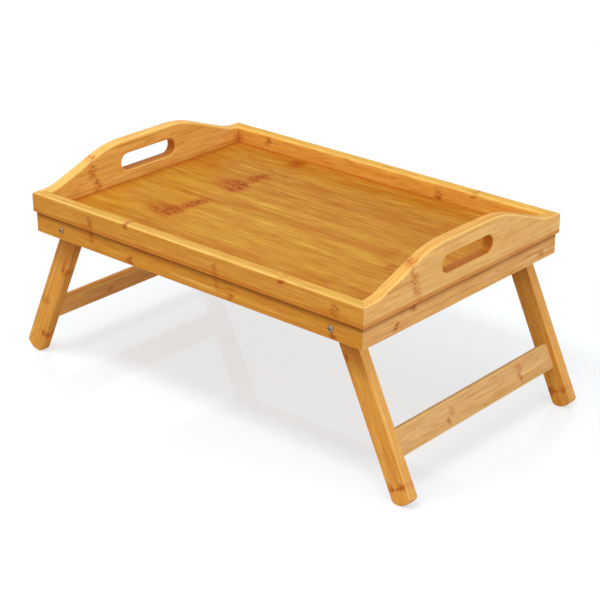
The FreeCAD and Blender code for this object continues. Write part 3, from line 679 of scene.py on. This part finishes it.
# %% Laying the shaded places
# Dark colour of the mitres' glue lines, and of the painted shade under the rails' overhang.
DARK_JOINT_AND_SHADE = "7E3C10"
SLOT_STAIN_AND_SHADE = "C06C14"
WELL_SHADE = "B4560E"
LEG_SHADE = "8A3E10"
LEG_OUTER_LIGHT, LEG_INNER_SHADE = "F0CC88", "A05A24"
GLUE_STRENGTH, CORNER_HIGHLIGHT_STRENGTH = 0.55, 0.18
OVERHANG_STRENGTH, SLOT_STRENGTH, WELL_STRENGTH = 0.88, 0.75, 0.45
SHADE_DEPTH = 48.0 * MM
SHADE_STRENGTH, SHADE_OUTSIDE = 0.62, 0.05
OUTER_STRENGTH, INNER_STRENGTH = 0.25, 0.22
HIDDEN_START, HIDDEN_END = 0.3, 0.8
OUTER_START, OUTER_END = 0.5, 0.9
INNER_START, INNER_END = -0.9, -0.5


def shade_leg(tree, place, facing, colour):
    """Paint shade on a leg under the tray and on its inner side, and paint light on its outer side.
    """
    side = parts_of(tree, facing)[1]
    height = faded(tree, parts_of(tree, place)[2], apron_low.z - SHADE_DEPTH, apron_low.z)
    share = faded(tree, side, HIDDEN_START, HIDDEN_END, SHADE_STRENGTH, SHADE_OUTSIDE)
    hidden = product(tree, height, share)
    outer = faded(tree, side, OUTER_START, OUTER_END, 0.0, OUTER_STRENGTH)
    inner = faded(tree, side, INNER_START, INNER_END, INNER_STRENGTH, 0.0)
    # Painted shade under the tray and on the inner side, painted light on the outer side.
    colour = blend(tree, hidden, colour, paint(LEG_SHADE))
    colour = blend(tree, outer, colour, paint(LEG_OUTER_LIGHT))
    return blend(tree, inner, colour, paint(LEG_INNER_SHADE))


def shade_places(tree, look, place, facing, upward, colour):
    """Lay the mitres' glue lines and the painted shade and highlights of the tray's places over a
    board's colour.
    """
    if look.ring:
        glue, corner = mitre_masks(tree, place, look.ring)
        colour = tint(tree, colour, glue, GLUE_STRENGTH, DARK_JOINT_AND_SHADE)
        # Painted highlight down the outer corners.
        colour = tint(tree, colour, corner, CORNER_HIGHLIGHT_STRENGTH, HIGHLIGHT_AND_WEAR)
    if "crest" in look.places:
        # Painted highlight on the long rails' tops.
        colour = tint(tree, colour, crest_highlight_mask(tree, place), upward, HIGHLIGHT_AND_WEAR)
    if "leg" in look.places:
        colour = shade_leg(tree, place, facing, colour)
    if "overhang" in look.places:
        # Painted shade on the aprons under the rails' overhang.
        colour = tint(tree, colour, overhang_shade_mask(tree, place), OVERHANG_STRENGTH, DARK_JOINT_AND_SHADE)
    if "slot" in look.places:
        # The slot walls: partly the cut wood taking the finish deeper, partly painted shade in the
        # recess.
        colour = tint(tree, colour, slot_mask(tree, place), SLOT_STRENGTH, SLOT_STAIN_AND_SHADE)
    if "well" in look.places:
        # Painted shade in the well's corners and along the panel's margin.
        colour = tint(tree, colour, well_shade_mask(tree, place), WELL_STRENGTH, WELL_SHADE)
    return colour


print("the legs' shade reaches", SHADE_DEPTH, "m below the aprons")

# %% [markdown]
# ## Bamboo, part eight: the material
# The maker turns place and normal into grain coordinates, stacks the layers, and ends in one
# Principled shader. The lacquer is satin, so it is a thin coat over a fairly rough base. The fibres
# lie a little lower than the wood between them and are duller, so they feed a fine bump and the
# roughness. Constant values sit directly on the shader's own sockets.

# %% Bamboo material maker
FIBRE_DULLING, BASE_ROUGHNESS = 0.12, 0.36
BUMP_STRENGTH, BUMP_HEIGHT = 0.12, 0.2 * MM
UP_START, UP_END = 0.40, 0.90


def bamboo(name, look):
    """Lacquered bamboo after a description."""
    material = bpy.data.materials.new(name)
    material.use_nodes = True
    tree = material.node_tree
    tree.nodes.clear()
    given = add(tree, "TexCoord").outputs
    place, normal = given["Object"], given["Normal"]
    grain, facing = (
        add(
            tree, "Mapping", {"Vector": vector, "Rotation": tuple(look.turn.to_euler())},
            vector_type="POINT",
        ).outputs[0]
        for vector in (place, normal)
    )
    upward = faded(tree, parts_of(tree, normal)[2], UP_START, UP_END)
    if "sweep" in look.places:
        grain = swept(tree, grain, upward)
    wood = use_group(tree, strips, {
        "Grain": grain, "Strip Width": look.strip_width,
        "Layer Depth": look.layer_depth, "Seed": look.seed,
    })
    colour = base_colour(tree, look, wood, grain, facing, upward)
    relief = product(tree, wood["Fibre"], -1.0)
    colour, relief = lay_marks(tree, look, grain, colour, relief)
    colour = shade_places(tree, look, place, facing, upward, colour)
    bump = add(tree, "Bump", {
        "Strength": BUMP_STRENGTH, "Distance": BUMP_HEIGHT, "Height": relief,
    })
    shader = add(tree, "BsdfPrincipled", {
        "Base Color": colour,
        "Roughness": product_plus(tree, wood["Fibre"], FIBRE_DULLING, BASE_ROUGHNESS),
        "Normal": bump.outputs[0],
        "Specular IOR Level": 0.02,
        "Coat Weight": 0.04,
        "Coat Roughness": 0.2,
    })
    tree.links.new(shader.outputs[0], add(tree, "OutputMaterial").inputs[0])
    return material


def finish_nodes(material, *names):
    """Give CAD nodes a material."""
    for name in names:
        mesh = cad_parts[name].data
        mesh.materials.clear()
        mesh.materials.append(material)
    print(material.name, "with", len(material.node_tree.nodes), "nodes on", ", ".join(names))


print("bamboo materials can be made")

# %% [markdown]
# ## The panel
# Its strips run along the tray and are about 20 mm wide. In the photograph strong marks stand in line
# to the left of the middle, as when neighbouring strips are cut from one cane, and faint ones to
# the right. Scattered noise would hardly line up like that, so each mark is listed one by one.

# %% Panel material
finish_nodes(bamboo("panel_bamboo", Look(
    light="D1A23A", deep="B06B1A", turn=LYING_X, seed=3.0,
    strip_width=21 * MM, layer_depth=50 * MM,
    fibre="A04C0E", gleam="ECCC5C", mark="AC4A0C", fleck="883606",
    contrast=1.1, gleams=0.6, places=("well",),
    marks=(
        Mark((-119, 75, 200), 10, 20, 1.6, 0.88, 0.85),
        Mark((-119, 38, 200), 13, 24, 3.2, 0.88, 0.85, lean=0.1),
        Mark((-118, -38, 200), 10, 23, 1.6, 0.88, 0.85),
        Mark((-120, -75, 200), 13, 22, 3.2, 0.88, 0.85, lean=0.1),
        Mark((-118, 145, 200), 10, 18, 2.0, 0.75, 0.65),
        Mark((152, 104, 200), 7, 18, 2.5, 0.30, 0.2),
        Mark((152, -6, 200), 7, 20, 2.5, 0.30, 0.2),
        Mark((152, -109, 200), 7, 15, 2.5, 0.30, 0.2),
        Mark((177, -39, 200), 7, 11, 1.5, 0.45, 0.3),
    ),
)), "tray_panel")

# %% [markdown]
# ## Rails and aprons
# The long sides have their grain along X. Small marks sit where the strips cross a joint of the
# cane. The two rails could share a material, but the back one is painted paler than the front one, as
# painted light on the side of it that shows, so the two are a lit and a shaded copy of one wood and
# each has its own.

# %% Rail materials
finish_nodes(bamboo("front_rail_bamboo", Look(
    light="DAA044", deep="C0802A", turn=STANDING_X, seed=11.0,
    top="DEB654", ring=TRAY_HALF, places=("well", "crest"),
    marks=(
        Mark((-152, 0, 204), 5, 14, 1.5, 0.40, 0.5),
        Mark((-93, 0, 219), 6, 5, 1.2, 0.60, 0.7),
        Mark((45, 0, 204), 5, 12, 1.5, 0.30, 0.4),
        Mark((139, 0, 219), 6, 4, 1.2, 0.60, 0.7),
        Mark((213, 0, 208), 6, 9, 1.5, 0.40, 0.6),
    ),
)), "front_rail")
# The back rail's paler colours are painted light.
finish_nodes(bamboo("back_rail_bamboo", Look(
    light="F6C058", deep="E29A3A", turn=STANDING_X, seed=17.0,
    top="DEB654", ring=TRAY_HALF, places=("well", "crest"),
    marks=(
        Mark((-182, 0, 213), 5, 7, 1.5, 0.45, 0.5),
        Mark((90, 0, 207), 6, 8, 1.5, 0.50, 0.6),
        Mark((141, 0, 219), 6, 5, 1.2, 0.45, 0.6),
    ),
)), "back_rail")

# %% Long apron material
finish_nodes(bamboo("long_apron_bamboo", Look(
    light="D69A3A", deep="BE7824", turn=STANDING_X, seed=29.0,
    ring=APRON_HALF, places=("overhang",),
    marks=(
        Mark((-152, 0, 190), 5, 9, 1.5, 0.40, 0.5),
        Mark((-89, 0, 179), 6, 6, 1.2, 0.75, 0.65),
        Mark((45, 0, 188), 4, 9, 1.5, 0.30, 0.4),
        Mark((64, 0, 179), 5, 5, 1.2, 0.60, 0.6),
        Mark((209, 0, 177), 6, 5, 1.2, 0.60, 0.6),
    ),
)), "front_apron", "back_apron")

# %% [markdown]
# ## Handle boards and end aprons
# The short sides have their grain along Y. One column of knots leans across each board's whole
# height. The boards differ only in colour and in their draw of strips, the left one being the
# yellower and the right one paler, which is a painted sheen on its outer side, so a loop makes both.

# %% Handle board materials
# The right board's paler colours are a painted sheen on its outer side.
for end, light, deep, top, seed in (
    ("left", "FACA6C", "E4A448", "F2C672", 53.0),
    ("right", "ECC07A", "D8A45C", "E0AC4C", 47.0),
):
    finish_nodes(bamboo(f"{end}_board_bamboo", Look(
        light=light, deep=deep, turn=STANDING_Y, seed=seed,
        top=top, fibre="B8682C", gleam="F4D890", mark="C06A20", fleck="A85418",
        contrast=0.9, lines=0.8, gleams=0.6,
        ring=TRAY_HALF, places=("slot", "well", "sweep"),
        marks=(Mark((0, -90, 220), 8, 27, 1.2, 0.35, 0.62, lean=0.28),),
    )), f"{end}_handle_board")

# %% End apron material
# The pale colour stands for a painted sheen on the aprons' outer sides, as on the right board.
finish_nodes(bamboo("end_apron_bamboo", Look(
    light="E8B874", deep="D09A56", turn=STANDING_Y, seed=71.0,
    fibre="B86C32", gleam="F4D8A0", contrast=0.9, lines=0.9, gleams=0.6,
    ring=APRON_HALF, places=("overhang",),
    marks=(
        Mark((0, -119, 181), 6, 6, 1.4, 0.55, 0.8),
        Mark((0, -90, 193), 6, 6, 1.4, 0.45, 0.7),
        Mark((0, 143, 181), 6, 6, 1.4, 0.35, 0.5),
    ),
)), "left_apron", "right_apron")

# %% [markdown]
# ## Legs and stretchers
# A leg's grain follows its length, which leans 25 degrees from the vertical, to the right in the
# right pair and to the left in the left pair. Marks on a leg are placed by their distance from the
# pivot and their place across the leg. A stretcher leans with its legs, with its grain along Y.

# %% Places on a leg
LEG_SPLAY = math.radians(25)
PIVOT = (205.0, 184.86)


def leg_point(hand, along, across, depth):
    """Point in mm on a leg: below the pivot, across its width and along Y."""
    x = PIVOT[0] + along * math.sin(LEG_SPLAY) + across * math.cos(LEG_SPLAY)
    z = PIVOT[1] - along * math.cos(LEG_SPLAY) + across * math.sin(LEG_SPLAY)
    return (hand * x, depth, z)


print("a right leg's toe is near", [round(value) for value in leg_point(1, 200, 0, 0)], "mm")

# %% Leg materials
# For each pair its hand, then for each mark: distance below the pivot, place across, half length,
# half width, smudge and fleck.
LEG_MARK_TAIL = 1.3
LEG_MARKS = {
    "left": (-1, (
        (64, -9, 7, 6, 0.60, 0.5),
        (52, -5, 9, 5, 0.30, 0.2),
        (123, 4, 6, 9, 0.40, 0.5),
        (169, -11, 5, 8, 0.70, 0.5),
    )),
    "right": (1, (
        (33, -9, 6, 5, 0.55, 0.5),
        (180, -9, 6, 6, 0.75, 0.5),
        (181, 8, 5, 7, 0.65, 0.5),
        (183, 0, 2, 12, 0.30, 0.7),
    )),
}
up_leg, over_leg = {}, {}
for end, (hand, rows) in LEG_MARKS.items():
    up_leg[end] = (-hand * math.sin(LEG_SPLAY), 0.0, math.cos(LEG_SPLAY))
    over_leg[end] = (hand * math.cos(LEG_SPLAY), 0.0, math.sin(LEG_SPLAY))
    finish_nodes(bamboo(f"{end}_leg_bamboo", Look(
        light="E9AD50", deep="CE8430", turn=grain_turn(up_leg[end], over_leg[end]),
        seed=90.0 + hand, strip_width=12 * MM, layer_depth=14 * MM,
        mark="BC5410", fleck="983C0C", wear_with_highlight=0.28, places=("leg",),
        marks=tuple(
            Mark(leg_point(hand, along, across, 0), length, width, LEG_MARK_TAIL, smudge, fleck)
            for along, across, length, width, smudge, fleck in rows
        ),
    )), f"front_{end}_leg", f"back_{end}_leg")

# %% Stretcher materials
# For each stretcher its hand, light and deep colour, then for each mark: Y, distance below the
# pivot, half length, half width, smudge and fleck.
STRETCHER_MARK_TAIL = 1.2
# The right stretcher's paler colours are painted light on its outer side, and the left one's more
# saturated colours painted shade on its inner side: a lit and a shaded copy of one wood.
STRETCHERS = {
    "left": (-1, "F2B66A", "DA924A", (
        (-53, 139, 4, 6, 0.45, 0.7),
    )),
    "right": (1, "E2B880", "CEA264", (
        (-54, 146, 4, 6, 0.45, 0.5),
        (-46, 137, 5, 7, 0.30, 0.2),
        (81, 144, 4, 7, 0.50, 0.5),
        (82, 134, 6, 7, 0.35, 0.2),
    )),
}
for end, (hand, light, deep, rows) in STRETCHERS.items():
    finish_nodes(bamboo(f"{end}_stretcher_bamboo", Look(
        light=light, deep=deep, turn=grain_turn((0, 1, 0), up_leg[end]),
        seed=120.0 + hand, strip_width=9 * MM, layer_depth=12 * MM, fibre="B06C2E",
        marks=tuple(
            Mark(
                leg_point(hand, along, 0, depth), length, width, STRETCHER_MARK_TAIL, smudge, fleck,
            )
            for depth, along, length, width, smudge, fleck in rows
        ),
    )), f"{end}_stretcher")

# %% [markdown]
# ## Dowels and keys
# The joinery is hidden in the frame, so plain pale bamboo without marks is enough for it.

# %% Dowel and key material
finish_nodes(
    bamboo("dowel_bamboo", Look(
        light="E3BE84", deep="CFA463", turn=LYING_X, seed=140.0,
        strip_width=3 * MM, layer_depth=3 * MM,
    )),
    "frame_dowels", "rail_corner_keys", "apron_corner_keys",
    "left_stretcher_dowels", "right_stretcher_dowels",
)

# %% [markdown]
# ## Nickel-plated hardware
# A plated bolt is a plain metal: its colour is in the reflection. Here its colour is painted a warm
# grey, as the heads look, which is a painted reflection of the wood around them. Grey paint would
# look flat, so it is a full metal. Fine scratches change the roughness a little, and a soft bump
# keeps the highlight from looking like a mirror's.

# %% Nickel material
SCRATCHES = 2600.0
SCRATCH_DETAIL = 4.0
RUBBED_START, RUBBED_END = 0.4, 0.7
SMOOTH_LEVEL, ROUGH_LEVEL = 0.3, 0.8
SMOOTHEST, ROUGHEST = 0.18, 0.34


def nickel():
    """Plated metal with fine scratches."""
    material = bpy.data.materials.new("nickel_plate")
    material.use_nodes = True
    tree = material.node_tree
    tree.nodes.clear()
    place = add(tree, "TexCoord").outputs["Object"]
    scratches = noise(tree, place, SCRATCHES, SCRATCHES, SCRATCH_DETAIL)
    rubbed = faded(tree, scratches, RUBBED_START, RUBBED_END)
    bump = add(tree, "Bump", {
        "Strength": 0.08, "Distance": 0.05 * MM, "Height": scratches,
    })
    shader = add(tree, "BsdfPrincipled", {
        # The warm tint of the metal's colour is a painted reflection of the wood.
        "Base Color": blend(tree, rubbed, paint("A8907A"), paint("705C4A")),
        "Metallic": 1.0,
        "Roughness": faded(
            tree, scratches, SMOOTH_LEVEL, ROUGH_LEVEL, SMOOTHEST, ROUGHEST,
        ),
        "Normal": bump.outputs[0],
    })
    tree.links.new(shader.outputs[0], add(tree, "OutputMaterial").inputs[0])
    return material


hardware = [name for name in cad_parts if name.endswith(("_bolt", "_washer", "_nut"))]
finish_nodes(nickel(), *hardware)

# %% [markdown]
# ## The floor
# The photograph is a studio shot on white. The floor is a smooth white board: near the object it is
# a little darker than the background, it mirrors the legs faintly, and it carries soft grey
# shadows. A white plane alone would show a horizon. So camera rays see a grey floor lifted by a glow
# of its own, which grows a little with the distance until it runs into the white background, while
# every other ray meets plain white.

# %% White floor
FLOOR_WIDTH = 12.0
FLOOR_SEEN = (0.360, 0.386, 0.402, 1.0)
FLOOR_MET = (0.80, 0.80, 0.80, 1.0)
GLOW = (0.985, 1.0, 1.012, 1.0)
GLOW_NEAR, GLOW_FAR = 0.602, 0.64
NEAR, FAR = 0.30, 0.8


def white_floor():
    """Studio floor at Z = 0."""
    bpy.ops.object.select_all(action="DESELECT")
    bpy.ops.mesh.primitive_plane_add(size=FLOOR_WIDTH, location=(0.0, 0.0, 0.0))
    floor = bpy.context.object
    floor.name = "studio_floor"
    material = bpy.data.materials.new("studio_white")
    material.use_nodes = True
    tree = material.node_tree
    tree.nodes.clear()
    place = add(tree, "TexCoord").outputs["Object"]
    seen = add(tree, "LightPath").outputs["Is Camera Ray"]
    distance = add(tree, "VectorMath", {0: place}, operation="LENGTH").outputs["Value"]
    shader = add(tree, "BsdfPrincipled", {
        "Base Color": blend(tree, seen, FLOOR_MET, FLOOR_SEEN),
        "Roughness": 0.0,
        "Specular IOR Level": 0.12,
        "Emission Color": GLOW,
        "Emission Strength": product(
            tree, seen, faded(tree, distance, NEAR, FAR, GLOW_NEAR, GLOW_FAR),
        ),
    })
    tree.links.new(shader.outputs[0], add(tree, "OutputMaterial").inputs[0])
    floor.data.materials.append(material)
    return floor


floor = white_floor()
print("floor is", floor.dimensions[0], "m wide")

# %% [markdown]
# ## The lights
# In the photograph the shadow stays under the tray, and its front edge lies well inside the tray's
# own. So the main light is a long strip that hangs above and in front, level with the tray's
# length. A wide and weak one overhead and two fills, right and front, open the shadows.

# %% Studio lights
AIM = Vector((0.0, 0.0, 0.15))


def soft_light(name, place, width, depth, power):
    """Area light aimed at the middle of the tray; its width lies level."""
    lamp = bpy.data.lights.new(name, "AREA")
    lamp.shape = "RECTANGLE"
    lamp.size = width
    lamp.size_y = depth
    lamp.energy = power
    holder = bpy.data.objects.new(name, lamp)
    bpy.context.scene.collection.objects.link(holder)
    holder.location = place
    holder.rotation_euler = (Vector(place) - AIM).to_track_quat("Z", "Y").to_euler()
    print(name, "gives", power, "W from", place)


soft_light("overhead", (0.0, -0.25, 2.0), 3.2, 3.2, 6.0)
soft_light("key", (0.0, -0.85, 2.2), 1.7, 0.45, 28.0)
soft_light("fill_right", (2.2, -0.4, 0.9), 1.6, 1.6, 17.0)
soft_light("fill_front", (-0.6, -2.3, 1.1), 1.6, 1.6, 8.0)

# %% [markdown]
# ## The surroundings
# The rest of the studio is white all round. At full strength it would wash out the shadows, so it
# lights the wood at half strength, while the camera and every glossy reflection see full white.

# %% White surroundings
SURROUNDINGS_LIT = 0.50

world = bpy.data.worlds.new("studio")
bpy.context.scene.world = world
world.use_nodes = True
surroundings = world.node_tree
surroundings.nodes.clear()
rays = add(surroundings, "LightPath").outputs
shows = math_of(surroundings, "MAXIMUM", rays["Is Camera Ray"], rays["Is Glossy Ray"])
strength = faded(surroundings, shows, 0.0, 1.0, SURROUNDINGS_LIT, 1.0)
glow = add(surroundings, "Background", {"Color": (1.0, 1.0, 1.0, 1.0), "Strength": strength})
surroundings.links.new(glow.outputs[0], add(surroundings, "OutputWorld").inputs[0])
bpy.context.scene.view_settings.view_transform = "Standard"
print("surroundings light the wood at", SURROUNDINGS_LIT)
